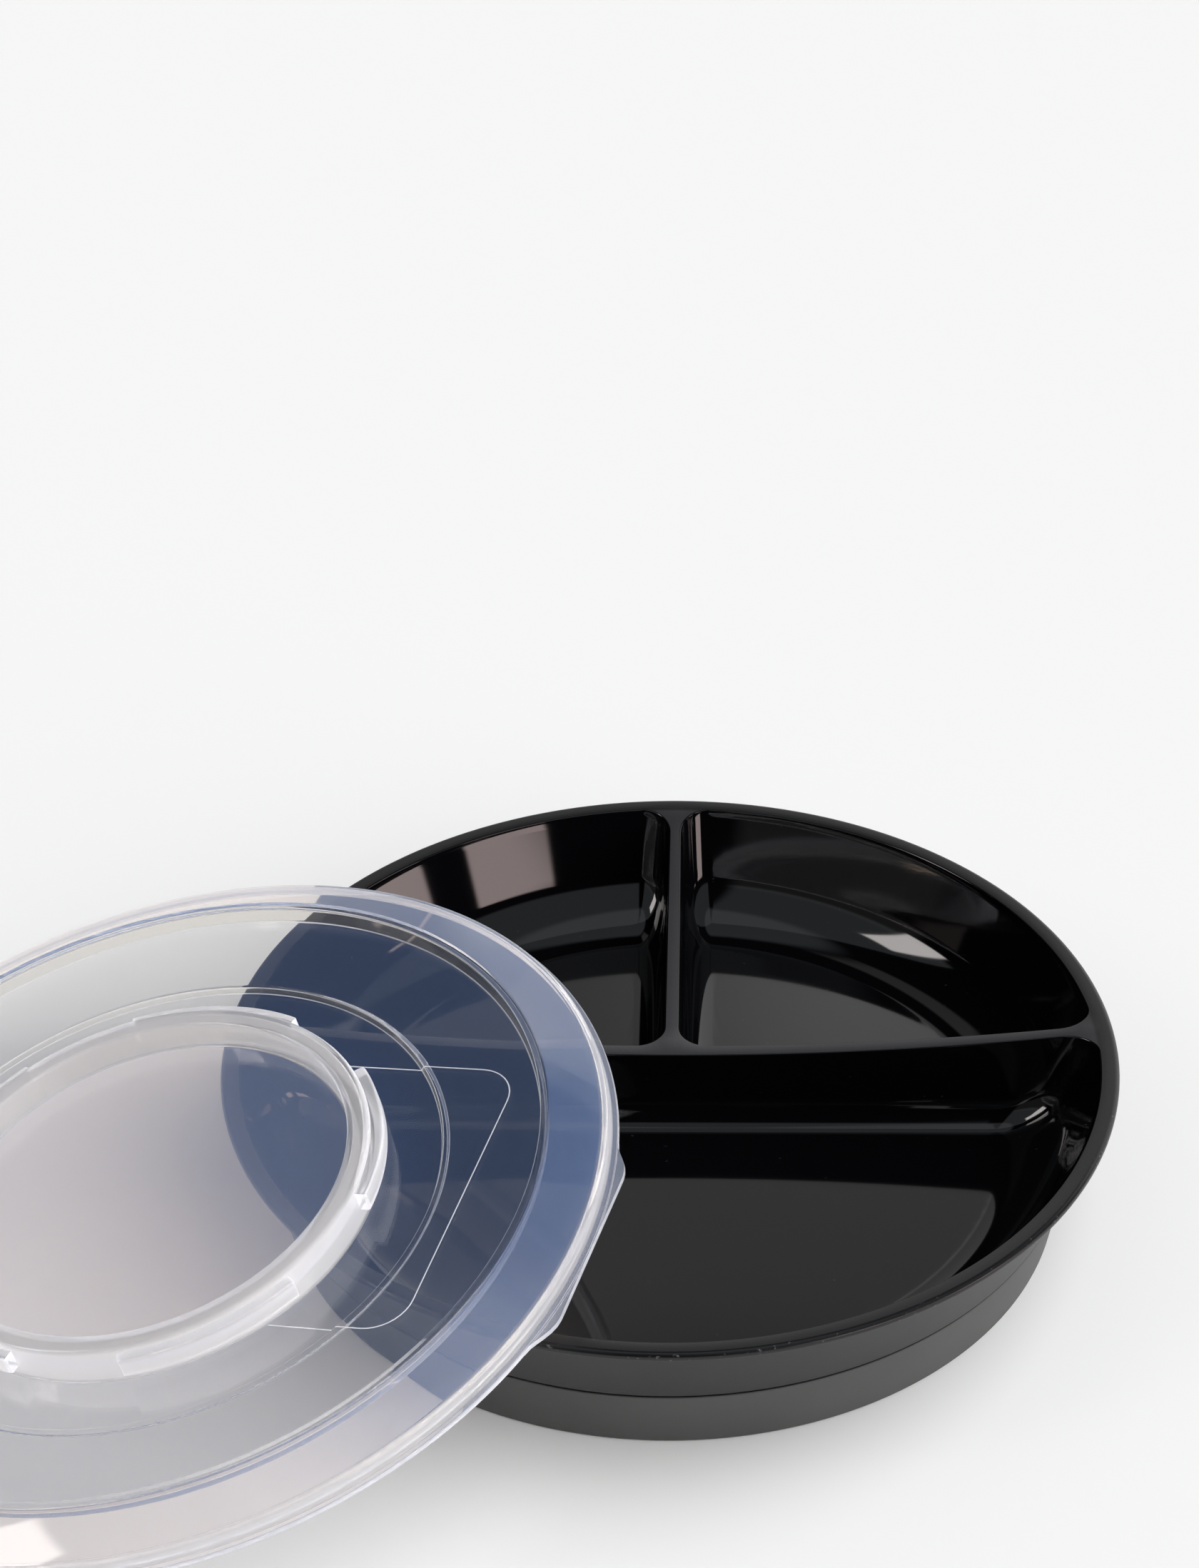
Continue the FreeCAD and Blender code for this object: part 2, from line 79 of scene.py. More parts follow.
def draw_section(name, corners):
    """Pulls a point through corners of (radius, height, rounding) and stays in edit mode."""
    piece = start_section(name, *corners[0])
    here = Vector(corners[0])
    for number, corner in enumerate(corners[1:], 1):
        point = Vector(corner[:2])
        rounding = corner[2] if len(corner) > 2 else 0
        end, turn = point, 0
        if rounding:
            back = (Vector(corners[number - 1][:2]) - point).normalized()
            ahead = (Vector(corners[number + 1][:2]) - point).normalized()
            half = back.angle(ahead) / 2
            end = point + back * rounding / math.tan(half)
            centre = point + (back + ahead).normalized() * rounding / math.sin(half)
            turn = math.copysign(math.pi - 2 * half, ahead.x * back.y - ahead.y * back.x)
        run = (end - here) * MM
        bpy.ops.mesh.extrude_region_move(TRANSFORM_OT_translate={"value": (run.x, 0, run.y)})
        here = end
        if rounding:
            step = SMALL_STEP if rounding < LARGE_ROUND else LARGE_STEP
            bpy.ops.mesh.spin(
                steps=max(2, round(abs(math.degrees(turn)) / step)),
                angle=turn,
                center=(centre.x * MM, 0, centre.y * MM),
                axis=(0, 1, 0),
            )
            here = point + ahead * rounding / math.tan(half)
    return piece


# %% [markdown]
# ## Sections that are turned
# A lathe makes a round piece from one profile, and the spin operator does the same with the drawn
# line. A Screw modifier could do it too, but it would have to be applied before any face can be
# chosen. A full turn ends where it began, so the seam is merged, and the normals are recalculated
# because a spin can leave them pointing inwards.


# %% Turn a section into a closed moulding
TURN_STEPS = 360
WELD = 0.002 * MM


def turn_section(piece):
    """Spins the drawn section round the upright axis, closes its seam and leaves edit mode."""
    bpy.ops.mesh.select_all(action="SELECT")
    bpy.ops.mesh.spin(steps=TURN_STEPS, angle=math.tau, center=(0, 0, 0), axis=(0, 0, 1))
    bpy.ops.mesh.select_all(action="SELECT")
    bpy.ops.mesh.remove_doubles(threshold=WELD)
    bpy.ops.mesh.normals_make_consistent(inside=False)
    bpy.ops.object.mode_set(mode="OBJECT")
    print(piece.name, "turned:", len(piece.data.polygons), "faces")


# %% [markdown]
# ## Faces that are chosen by place
# Hooks, lugs and the lift tab grow out of a turned piece. By hand their faces would be picked with
# the mouse. A script picks them by where their middle is: radius, direction and height.
# Hooks and lugs stand in fives, so a second helper measures how far off the nearest of five a face is.


# %% Choose faces by where they are
ON_WALL = 0.05  # mm that the middle of a face may lie off the round wall it belongs to
FIFTH = 72  # degrees


def choose_faces(piece, test):
    """Selects the faces whose middle passes test(radius, azimuth in degrees, height), in mm."""
    bpy.ops.object.select_all(action="DESELECT")
    bpy.context.view_layer.objects.active = piece
    piece.select_set(True)
    bpy.ops.object.mode_set(mode="EDIT")
    bpy.ops.mesh.select_mode(type="FACE")
    bpy.ops.mesh.select_all(action="DESELECT")
    bpy.ops.object.mode_set(mode="OBJECT")
    for face in piece.data.polygons:
        x, y, z = (v / MM for v in face.center)
        face.select = test(math.hypot(x, y), math.degrees(math.atan2(y, x)), z)
    bpy.ops.object.mode_set(mode="EDIT")


def off_nearest(azimuth, first):
    """Degrees between a direction and the nearest of five places, of which one is first."""
    return abs((azimuth - first + FIFTH / 2) % FIFTH - FIFTH / 2)


# %% [markdown]
# ## The tray from outside
# Outside, the tray is a rim with a lip, a bowl wall, a flat underside, a foot ring that the grip skirt
# is moulded to, and a socket ring for stacking on the boss of another lid. All of it is one section.
# It could be built from a cylinder with loop cuts and scaling, but a drawn section keeps every size.
# It starts at the flat top of the rim and ends on the axis, so the top stays open for the rooms.

# %% Turn the outside of the tray
RIM_TOP = 32.7
BOWL_CENTRE, BOWL_EDGE, BOWL_ROUND = 66.1, 30.8, 22.2
UNDERSIDE, SOCKET_INSIDE, HOOK_HIGH = 8.6, 49.1, 1.5


def bowl_outside(first, last, steps):
    """Points of the bowl's round outer wall, between two angles below its upper edge."""
    turns = np.radians(np.linspace(first, last, steps + 1))
    return [
        (BOWL_CENTRE + BOWL_ROUND * math.cos(a), BOWL_EDGE - BOWL_ROUND * math.sin(a)) for a in turns
    ]


TRAY_SECTION = [
    (87.7, RIM_TOP),  # where the flat top of the rim stays open
    (88.85, RIM_TOP),
    (90.0, RIM_TOP, 1.0),  # the rim's outer edge
    (89.85, 31.15, 0.3),  # under the lip
    (88.3, 30.65, 0.3),
    (87.93, 29.83),
    (81.32, 15.12),  # the wall is straight down to the grip skirt
    *bowl_outside(48.0, 60.0, 4),
    (77.2, 1.3, 0.3),  # the foot ring
    (75.0, 1.3, 0.3),
    *bowl_outside(66.37, 90.0, 6),
    (51.1, UNDERSIDE, 0.8),  # the socket ring
    (51.1, 0.4, 0.3),
    (SOCKET_INSIDE, 0.4),
    (SOCKET_INSIDE, HOOK_HIGH),
    (SOCKET_INSIDE, UNDERSIDE, 0.8),
    (0.0, UNDERSIDE),
]
tray = draw_section("divided_tray_shell", TRAY_SECTION)
turn_section(tray)

# %% [markdown]
# ## The hooks under the tray
# Five hooks stand inside the socket ring. On the real tray they catch the lugs of the lid below.
# They could be separate blocks, but they are moulded in one with the ring, so the faces of the ring
# are chosen where the hooks sit and extruded inwards.

# %% Pull the five hooks out of the socket ring
HOOK_FIRST, HOOK_HALF, HOOK_REACH = 18, 9.0, 2.3
choose_faces(
    tray,
    lambda r, azimuth, z: abs(r - SOCKET_INSIDE) < ON_WALL
    and z < HOOK_HIGH
    and off_nearest(azimuth, HOOK_FIRST) < HOOK_HALF,
)
bpy.ops.mesh.extrude_region_shrink_fatten(TRANSFORM_OT_shrink_fatten={"value": HOOK_REACH * MM})
bpy.ops.object.mode_set(mode="OBJECT")
low = [v.co.xy.length / MM for v in tray.data.vertices if 0 < v.co.z < 2 * MM]
print("hooks reach in to a radius of", round(min(low), 2), "mm")

# %% [markdown]
# ## The three compartments
# Each compartment is a pocket with a straight sloping outer wall, drafted divider walls and a large
# round along every inner edge. Bevelling those edges fails where the round outer wall runs smoothly
# into the dividers, so each pocket starts as a ball in the middle of its room, which is blown up
# until it meets the walls. The walls are described by their distance. Distances to several walls are
# joined in a way that gives the rolled round of a moulding tool wherever two or three of them meet.

# %% Describe the walls of a compartment by distance
FLOOR, RIM_INSIDE, FOOT_ROUND, CORNER = 10.6, 86.3, 9.0, 6.0
DRAFT, SLOPE = math.radians(2.5), math.radians(25)
DIP, DIP_REACH = 5.9, 86.9
DISH = (DIP_REACH**2 + DIP**2) / (2 * DIP)


def divider_top(x, y):
    """The height of the dished top of the dividers."""
    return RIM_TOP - DIP + DISH - np.sqrt(DISH**2 - np.minimum(x**2 + y**2, DIP_REACH**2))


def wall_distance(point, walls):
    """How far points lie outside a rounded room; walls are (axis, place at the top, side)."""
    radius = np.hypot(point[..., 0], point[..., 1])
    below = RIM_TOP - point[..., 2]
    side_wall = (radius - RIM_INSIDE + below * math.tan(SLOPE)) * math.cos(SLOPE)
    over = np.maximum(side_wall + FOOT_ROUND, 0)
    under = np.maximum(FLOOR - point[..., 2] + FOOT_ROUND, 0)
    distances = [np.hypot(over, under) - FOOT_ROUND]
    for axis, place, side in walls:
        lean = below * math.tan(DRAFT)
        distances.append((side * (place - point[..., axis]) + lean) * math.cos(DRAFT))
    return np.sqrt(sum(np.maximum(d + CORNER, 0) ** 2 for d in distances)) - CORNER


# %% [markdown]
# ## Rays that find a wall
# Blender can cast rays at a mesh, but these walls are only a formula so far. Halving a step finds the
# place where the formula changes from inside to outside, and it can't miss as long as the ray starts
# inside the room.


# %% Walk along rays to the walls
FARTHEST, HALVINGS = 190.0, 34


def reach(start, aim, walls):
    """Walks along rays from start until they meet the walls, by halving the step."""
    near, far = np.zeros(aim.shape[:-1]), np.full(aim.shape[:-1], FARTHEST)
    for _ in range(HALVINGS):
        middle = (near + far) / 2
        inside = wall_distance(start + aim * middle[..., None], walls) < 0
        near, far = np.where(inside, middle, near), np.where(inside, far, middle)
    return start + aim * near[..., None]


# %% [markdown]
# ## Points where they are needed
# A polished wall shows its facets first where it bends. Even spacing would waste points on the flat
# floor, and subdividing would add them everywhere. So points are shared out by two measures at once:
# the length of the line and how much it turns.


# %% Share points out along a wall, more of them where it turns
def share_out(line, count, pace, turn_pace):
    """Places of count points along lines, evenly by length in mm and by turning in degrees."""
    steps = np.diff(line, axis=-2)
    length = np.linalg.norm(steps, axis=-1)
    way = steps / np.maximum(length, 1e-9)[..., None]
    bend = np.degrees(np.arccos(np.clip((way[..., 1:, :] * way[..., :-1, :]).sum(-1), -1, 1)))
    weight = length / pace
    weight[..., 1:] += bend / turn_pace
    total = np.concatenate([np.zeros_like(weight[..., :1]), np.cumsum(weight, -1)], -1)
    rows = total.reshape(-1, total.shape[-1])
    wanted = np.linspace(0, 1, count)
    places = [np.interp(wanted * row[-1], row, np.arange(len(row))) for row in rows]
    return np.array(places).reshape(*total.shape[:-1], count)


# %% [markdown]
# ## The mouth of a room
# The mouth of a compartment isn't level: it follows the dished top of the dividers. It could be cut
# with a curved knife, but then its edge would have no even points for a round. So rays find the
# mouth at a height, the height is read again at the place found, and a few repeats settle both.


# %% Trace the mouth of a room
EDGE_ROUND, AROUND, MOUTH_RAYS, SETTLE = 0.3, 300, 2401, 6
MOUTH_PACE, MOUTH_TURN = 1.5, 2.6


def trace_mouth(heart, walls):
    """The points of a room's upper edge, just under its small round."""
    turn = np.linspace(0, math.tau, MOUTH_RAYS)
    level = np.full_like(turn, RIM_TOP - EDGE_ROUND)
    for _ in range(SETTLE):
        start = np.stack([np.full_like(turn, heart[0]), np.full_like(turn, heart[1]), level], -1)
        mouth = reach(start, np.stack([np.cos(turn), np.sin(turn), 0 * turn], -1), walls)
        level = divider_top(mouth[:, 0], mouth[:, 1]) - EDGE_ROUND
    place = share_out(mouth, AROUND + 1, MOUTH_PACE, MOUTH_TURN)[:-1]
    return np.stack([np.interp(place, np.arange(len(turn)), mouth[:, k]) for k in range(3)], -1)


# %% [markdown]
# ## The rings of a room
# Below the mouth, each point of it gets a line that runs down the wall and over the floor to the
# lowest point under the middle. All lines together are rings, like those of a globe's lower half.
# Above the mouth, a quarter circle of rings makes the small round that catches a thin line of light.
# A bevel would do that too, but not on an edge whose other side isn't built yet.

# %% Lay rings down the wall and over the edge
DOWN, WALL_RAYS, SWEEP_POWER = 52, 401, 1.4
WALL_PACE, WALL_TURN = 1.6, 2.4
EDGE_RINGS = 5


def lay_wall_rings(heart, mouth, walls):
    """Rings of points from the lowest point of a room up to its mouth."""
    spoke = mouth - heart
    flat = np.hypot(spoke[:, 0], spoke[:, 1])
    top = np.arctan2(spoke[:, 2], flat)
    sweep = np.linspace(0, 1, WALL_RAYS)
    tilt = top[:, None] + (-math.pi / 2 - top[:, None]) * sweep**SWEEP_POWER
    outward = (spoke[:, :2] / flat[:, None])[:, None, :]
    aim = np.concatenate([outward * np.cos(tilt)[..., None], np.sin(tilt)[..., None]], -1)
    wall = reach(heart, aim, walls)
    place = share_out(wall, DOWN + 1, WALL_PACE, WALL_TURN)
    rings = np.empty((DOWN + 1, AROUND, 3))
    for s in range(AROUND):
        for k in range(3):
            rings[:, s, k] = np.interp(place[s], np.arange(WALL_RAYS), wall[s, :, k])
    return rings[::-1]


def lay_edge_rings(mouth):
    """Rings of points of the small round from the mouth up to the top of the tray."""
    along = np.roll(mouth, -1, 0) - np.roll(mouth, 1, 0)
    side = np.stack([along[:, 1], -along[:, 0]], -1) / np.hypot(along[:, 0], along[:, 1])[:, None]
    rings = []
    for k in range(1, EDGE_RINGS + 1):
        angle = math.pi / 2 * k / EDGE_RINGS
        spread = mouth[:, :2] + side * EDGE_ROUND * (1 - math.cos(angle))
        height = mouth[:, 2] + EDGE_ROUND * math.sin(angle)
        rings.append(np.concatenate([spread, height[:, None]], -1))
    return np.array(rings)


# %% [markdown]
# ## A ball blown up into a room
# A UV sphere already has rings and columns, so its vertices only have to be moved to the rings that
# were laid, and the faces come along. What is left of the sphere above the edge is deleted.


# %% Blow up a ball into a compartment
BALL = 20 * MM


def blow_up_room(name, heart, walls):
    """Shapes a UV sphere into the pocket: its lower half is the room, the rings above it the edge."""
    heart = np.array(heart)
    mouth = trace_mouth(heart, walls)
    rings = np.concatenate([lay_wall_rings(heart, mouth, walls), lay_edge_rings(mouth)])
    last = DOWN + EDGE_RINGS

    bpy.ops.object.select_all(action="DESELECT")
    bpy.ops.mesh.primitive_uv_sphere_add(segments=AROUND, ring_count=2 * DOWN, radius=BALL)
    room = bpy.context.object
    room.name = room.data.name = name
    bpy.ops.object.mode_set(mode="EDIT")
    bpy.ops.mesh.select_all(action="DESELECT")
    bpy.ops.object.mode_set(mode="OBJECT")
    where = np.array([v.co[:] for v in room.data.vertices]) / BALL
    rise = np.arcsin(np.clip(where[:, 2], -1, 1)) / math.pi + 0.5
    ring = np.rint(rise * 2 * DOWN).astype(int)
    turn = np.arctan2(where[:, 1], where[:, 0]) / math.tau
    spot = np.rint(turn * AROUND).astype(int) % AROUND
    for vertex, row, column in zip(room.data.vertices, ring, spot):
        vertex.select = bool(row > last)
        vertex.co = rings[min(row, last), column] * MM
    bpy.ops.object.mode_set(mode="EDIT")
    bpy.ops.mesh.delete(type="VERT")
    bpy.ops.object.mode_set(mode="OBJECT")
    print(name, "blown up:", len(room.data.polygons), "faces")
    return room


X, Y = 0, 1
BAR_FRONT, BAR_BACK, STEM_HALF = 7.95, 10.75, 1.2  # the T of the dividers at its top
rooms = [
    blow_up_room("front_room", (0, -38, 25), [(Y, BAR_FRONT, -1)]),
    blow_up_room("rear_right_room", (38, 46, 25), [(Y, BAR_BACK, 1), (X, STEM_HALF, 1)]),
    blow_up_room("rear_left_room", (-38, 46, 25), [(Y, BAR_BACK, 1), (X, -STEM_HALF, -1)]),
]

# %% [markdown]
# ## One mesh with three finishes
# On the real tray the outside and the rooms are one moulding, so they are joined into one mesh.
# The tool was polished inside the rooms and grained outside, and the rim and the dividers are satin.
# Each face remembers its finish by a slot number. The join puts empty slots together, so the outside
# gets its numbers after it: the joined mesh starts with the faces of the shell.

# %% Join the rooms to the shell
POLISHED, SATIN, GRAINED = 0, 1, 2
LIP_UNDER = 31.0  # the height where the lip of the rim ends
for part in rooms + [tray]:
    for _ in (POLISHED, SATIN, GRAINED):
        part.data.materials.append(None)
SHELL_FACES = len(tray.data.polygons)

bpy.ops.object.select_all(action="DESELECT")
for part in rooms + [tray]:
    part.select_set(True)
bpy.context.view_layer.objects.active = tray
bpy.ops.object.join()
tray.name = tray.data.name = "tray_moulding"
for face in tray.data.polygons[:SHELL_FACES]:
    face.material_index = GRAINED if face.center.z < LIP_UNDER * MM else SATIN
print("joined:", SHELL_FACES, "faces outside,", len(tray.data.polygons) - SHELL_FACES, "in the rooms")

# %% [markdown]
# ## Closing the tray
# What is still open is the top: a sheet with the rim as its outline and three holes, level round the
# rim and dished along the dividers. The fill operator would close it, but along the straight
# dividers it skips points that lie in one line, and the dish is lost. So the sheet is cut into
# triangles that keep every point of the edges, and those inside a hole are left out.

# %% Close the top with triangles between the rim and the rooms
RIM_OUTLINE = 87.5  # every point of the open rim lies farther out, every point of a room nearer
BAR_MIDDLE = (BAR_FRONT + BAR_BACK) / 2
shell = bmesh.new()
shell.from_mesh(tray.data)
open_edges = [edge for edge in shell.edges if edge.is_boundary]
corners = sorted({c for edge in open_edges for c in edge.verts}, key=lambda c: c.index)
number = {corner: k for k, corner in enumerate(corners)}
spots = [corner.co.xy / MM for corner in corners]
lines = [[number[corner] for corner in edge.verts] for edge in open_edges]
triangles = delaunay_2d_cdt(spots, lines, [], 1, 1e-5)[2]


def outline_of(corner):
    """Which outline of the sheet a corner belongs to: 0 for the rim, 1 to 3 for the rooms."""
    if corner.co.xy.length > RIM_OUTLINE * MM:
        return 0
    return 1 if corner.co.y < BAR_MIDDLE * MM else 2 if corner.co.x > 0 else 3


for triangle in triangles:
    trio = [corners[k] for k in triangle]
    if len({outline_of(corner) for corner in trio}) > 1:
        shell.faces.new(trio).material_index = SATIN
bmesh.ops.recalc_face_normals(shell, faces=shell.faces)
print("open edges left:", sum(edge.is_boundary for edge in shell.edges))
shell.to_mesh(tray.data)
shell.free()
SMOOTH = math.radians(40)  # edges that turn more than this stay sharp
bpy.ops.object.shade_smooth_by_angle(angle=SMOOTH)
print("tray:", len(tray.data.polygons), "faces")

# %% [markdown]
# ## The grip skirt
# The soft skirt hugs the foot of the tray. It flares from the pad under the foot up to the bowl,
# where its thin edge meets the black wall. A cylinder could be tapered and given a thickness, but
# its inside follows the bowl and its outside doesn't, so one closed section is turned.

# %% Turn the grip skirt
SKIRT_SECTION = [
    (75.1, 0.0),
    (78.15, 0.0, 0.8),  # the edge of the pad that it stands on
    (80.75, 13.85, 0.25),  # the thin upper edge
    (79.6, 12.95),
    (78.5, 12.15),
    (77.35, 11.4),
    (77.35, 1.25),
    (75.1, 1.2, 0.2),
    (75.1, 0.0),
]
skirt = draw_section("grip_skirt_moulding", SKIRT_SECTION)
turn_section(skirt)
bpy.ops.object.shade_smooth_by_angle(angle=SMOOTH)

# %% [markdown]
# ## The lid
# The lid is one thin sheet of clear plastic: a skirt that presses over the rim, a crest that the
# tray above stacks on, two wide steps, and a raised ring with five lugs in the middle.
# A thin sheet could be a surface with a thickness modifier, but here the upper and the lower side
# have different corners, so both are drawn in one section that starts and ends on the axis.

# %% Turn the lid
RING_OUTSIDE, LUG_LOW, LUG_HIGH = 46.3, 3.6, 7.9
STEP_LOW, STEP_HIGH, STEP_FOOT, STEP_HEAD = 1.2, 2.4, 58.7, 59.3
FLANGE = 92.9
LID_SECTION = [
    (0.0, 3.2),  # the disc inside the ring
    (41.8, 3.2, 0.5),
    (41.8, 9.2, 0.6),  # the ring
    (RING_OUTSIDE, 9.2, 0.9),
    (RING_OUTSIDE, LUG_HIGH),
    (RING_OUTSIDE, LUG_LOW),
    (RING_OUTSIDE, STEP_LOW, 0.5),  # the two wide steps
    (STEP_FOOT, STEP_LOW, 0.3),
    (STEP_HEAD, STEP_HIGH, 0.3),
    (78.9, STEP_HIGH, 0.4),
    (79.5, 5.7, 0.35),  # the crest and the slope outside it
    (81.1, 5.7, 0.35),
    (91.7, 0.96, 1.2),
    (91.7, -2.0, 0.3),  # the skirt and its flange
    (FLANGE, -2.0, 0.3),
    (FLANGE, -3.2, 0.3),
    (90.4, -3.2, 0.2),  # the underside, from here back to the axis
    (89.8, -2.0, 0.3),
    (90.4, -1.4, 0.2),
    (90.4, 0.5, 0.3),
    (89.85, 0.5, 0.3),
    (80.6, 4.6, 0.3),
    (80.0, 1.3, 0.4),
    (60.4, 1.3, 0.3),
    (59.8, 0.1, 0.3),
    (45.2, 0.1, 0.4),
    (45.2, 8.1, 0.4),
    (42.9, 8.1, 0.4),
    (42.9, 2.1, 0.4),
    (0.0, 2.1),
]
lid = draw_section("lid_moulding", LID_SECTION)
turn_section(lid)

# %% [markdown]
# ## The lugs on the lid
# Five long lugs stand out from the raised ring, for the hooks under a tray that is stacked on it.
# They are part of the moulding, so they are extruded from the faces of the ring and not added as
# blocks. Their outline is bevelled, because a moulded lug has no sharp edge.

# %% Pull five lugs out of the raised ring
LUG_FIRST, LUG_HALF, LUG_REACH, LUG_ROUND = -16, 22, 2.3, 0.6
choose_faces(
    lid,
    lambda r, azimuth, z: abs(r - RING_OUTSIDE) < ON_WALL
    and LUG_LOW < z < LUG_HIGH
    and off_nearest(azimuth, LUG_FIRST) < LUG_HALF,
)
bpy.ops.mesh.extrude_region_shrink_fatten(TRANSFORM_OT_shrink_fatten={"value": LUG_REACH * MM})
bpy.ops.mesh.region_to_loop()
bpy.ops.mesh.bevel(offset=LUG_ROUND * MM, segments=3, affect="EDGES")
bpy.ops.object.mode_set(mode="OBJECT")
print("lid with lugs:", len(lid.data.polygons), "faces")

# %% [markdown]
# ## The lift tab
# The lift tab is a straight lip on the round flange, so a finger finds it. A box joined to the flange
# would leave a seam. The flange's edge faces are chosen over its length and extruded by a hair, and
# the new edge is then laid on the tab's straight outline, which eases into the round at both ends.

# %% Pull the lift tab out of the flange
TAB_AT, TAB_HALF, TAB_EDGE = math.radians(-38), 16.6, 93.0
TAB_REACH, TAB_EASE, HAIR = 27.5, 10, 0.01
choose_faces(
    lid,
    lambda r, azimuth, z: abs(r - FLANGE) < ON_WALL
    and z < -1.9
    and abs(azimuth - math.degrees(TAB_AT)) < TAB_HALF,
)
bpy.ops.mesh.extrude_region_shrink_fatten(TRANSFORM_OT_shrink_fatten={"value": HAIR * MM})
bpy.ops.object.mode_set(mode="OBJECT")
for vertex in lid.data.vertices:
    if vertex.select:
        angle = math.atan2(vertex.co.y, vertex.co.x) - TAB_AT
        across = math.tan(angle) * TAB_EDGE
        edge = TAB_EDGE / math.cos(angle)
        ease = min(1.0, max(0.0, (TAB_REACH - abs(across)) / TAB_EASE))
        far = FLANGE + (edge - FLANGE) * ease * ease * (3 - 2 * ease)
        grow = max(far, FLANGE + 2 * HAIR) / (math.hypot(vertex.co.x, vertex.co.y) / MM)
        vertex.co.x *= grow
        vertex.co.y *= grow
outwards = Vector((math.cos(TAB_AT), math.sin(TAB_AT), 0))
print("tab edge in mm:", round(max(v.co.dot(outwards) for v in lid.data.vertices) / MM, 2))
bpy.ops.object.shade_smooth_by_angle(angle=SMOOTH)

# %% [markdown]
# ## The frame line on the lid
# A thin raised line frames a bare field between the raised ring and the tab. It is a hair-thin bead
# on the moulding, and modelling it into the faces of the lid would need thousands of them. So it is
# a curve laid on the stepped top, given a small round section, made a mesh and joined to the lid.

# %% Draw the frame line on the level lid
FIELD_NEAR, FIELD_FAR, FIELD_LEFT, FIELD_RIGHT, FIELD_ROUND = 47.0, 65.0, -28.5, 39.8, 8.0
POINT_GAP = 0.4
outline = [(math.sqrt(FIELD_NEAR**2 - FIELD_LEFT**2), FIELD_LEFT)]
for middle, start in ((FIELD_LEFT + FIELD_ROUND, -90), (FIELD_RIGHT - FIELD_ROUND, 0)):
    for turn in np.radians(np.linspace(start, start + 90, 10)):
        away = FIELD_FAR - FIELD_ROUND + FIELD_ROUND * math.cos(turn)
        outline.append((away, middle + FIELD_ROUND * math.sin(turn)))
outline.append((math.sqrt(FIELD_NEAR**2 - FIELD_RIGHT**2), FIELD_RIGHT))
fine = []
for (n0, t0), (n1, t1) in zip(outline, outline[1:]):
    gaps = max(1, round(math.hypot(n1 - n0, t1 - t0) / POINT_GAP))
    fine += [(n0 + (n1 - n0) * k / gaps, t0 + (t1 - t0) * k / gaps) for k in range(gaps)]
fine.append(outline[-1])
print("frame line drawn:", len(fine), "points")

# %% Lay the frame line on the steps and join it to the lid
BEAD = 0.12
curve = bpy.data.curves.new("lid_frame_line", "CURVE")
curve.dimensions = "3D"
curve.bevel_depth, curve.bevel_resolution, curve.use_fill_caps = BEAD * MM, 1, True
spline = curve.splines.new("POLY")
spline.points.add(len(fine) - 1)
step_edges, step_heights = [0, STEP_FOOT, STEP_HEAD, 79], [STEP_LOW, STEP_LOW, STEP_HIGH, STEP_HIGH]
for spot, (n, t) in zip(spline.points, fine):
    x = n * math.cos(TAB_AT) - t * math.sin(TAB_AT)
    y = n * math.sin(TAB_AT) + t * math.cos(TAB_AT)
    z = float(np.interp(math.hypot(x, y), step_edges, step_heights))
    spot.co = (x * MM, y * MM, z * MM, 1)
line = bpy.data.objects.new("lid_frame_line", curve)
bpy.context.collection.objects.link(line)
bpy.ops.object.select_all(action="DESELECT")
line.select_set(True)
bpy.context.view_layer.objects.active = line
bpy.ops.object.convert(target="MESH")
lid.select_set(True)
bpy.context.view_layer.objects.active = lid
SHEET_FACES = len(lid.data.polygons)
bpy.ops.object.join()
print("frame line joined:", len(lid.data.polygons) - SHEET_FACES, "faces")

# %% [markdown]
# ## How milky each place of the lid is
# Clouded plastic looks milkier where the eye looks along a wall than where it looks through it, since
# more plastic lies in the way. The tall raised ring and the skirt are milky, the wide steps are
# clearer and the low risers between them almost clear. A high haze on the rounds of the steps
# paints pale highlight lines on them.
# Real depth could give this with a volume, but that is slow and grainy in a sheet of 1 mm. So the
# share of haze is written on each face while the lid still lies level.

# %% Write the haze of each face
DISC_END, RING_MIDDLE, RING_END, STEPS_FROM, SLOPE_FROM, SKIRT_FROM = 41.3, 44, 49.5, 58, 81.6, 89.5
haze = lid.data.attributes.new("haze", "FLOAT", "FACE")
for face in lid.data.polygons:
    radius, upright = face.center.xy.length / MM, 1 - abs(face.normal.z)
    outward = face.normal.xy.dot(face.center.xy) > 0
    if face.index >= SHEET_FACES:  # the frame line
        share = 0.60
    elif DISC_END < radius < RING_END:
        share = 0.36 + (0.30 if outward and radius > RING_MIDDLE else -0.02) * upright
    elif radius > SKIRT_FROM:
        share = 0.27 + 0.15 * upright
    elif radius > SLOPE_FROM:
        share = 0.18 + 0.004 * (radius - SLOPE_FROM)
    elif radius > STEPS_FROM and face.normal.z > 0 and 0.05 < upright < 0.5:  # rounds of the steps
        # painted highlight: this high haze draws pale lines on the upward rounds of the steps
        share = 0.55
    else:
        share = (0.22 if radius < DISC_END else 0.10) * (1 - 0.7 * upright)
    haze.data[face.index].value = share
print("haze written on", len(haze.data), "faces")

# %% [markdown]
# ## The lid leaning on the tray
# In the photograph the lid is off and leans on the left of the rim. Turning the object would be
# enough for a picture, but a finished piece has its place in its mesh, so the mesh itself is moved.

# %% Lean the lid on the rim
LEAN = (
    Matrix.Translation(Vector((-100.15, -40.48, 26.68)) * MM)
    @ Matrix.Rotation(math.radians(19.3), 4, "Z")
    @ Matrix.Rotation(math.radians(-14.58), 4, "Y")
)
lid.data.transform(LEAN)
lid.data.update()
low, high = ([round(v / MM, 1) for v in lid.bound_box[k]] for k in (0, 6))
print("lid lies between", low, "and", high)

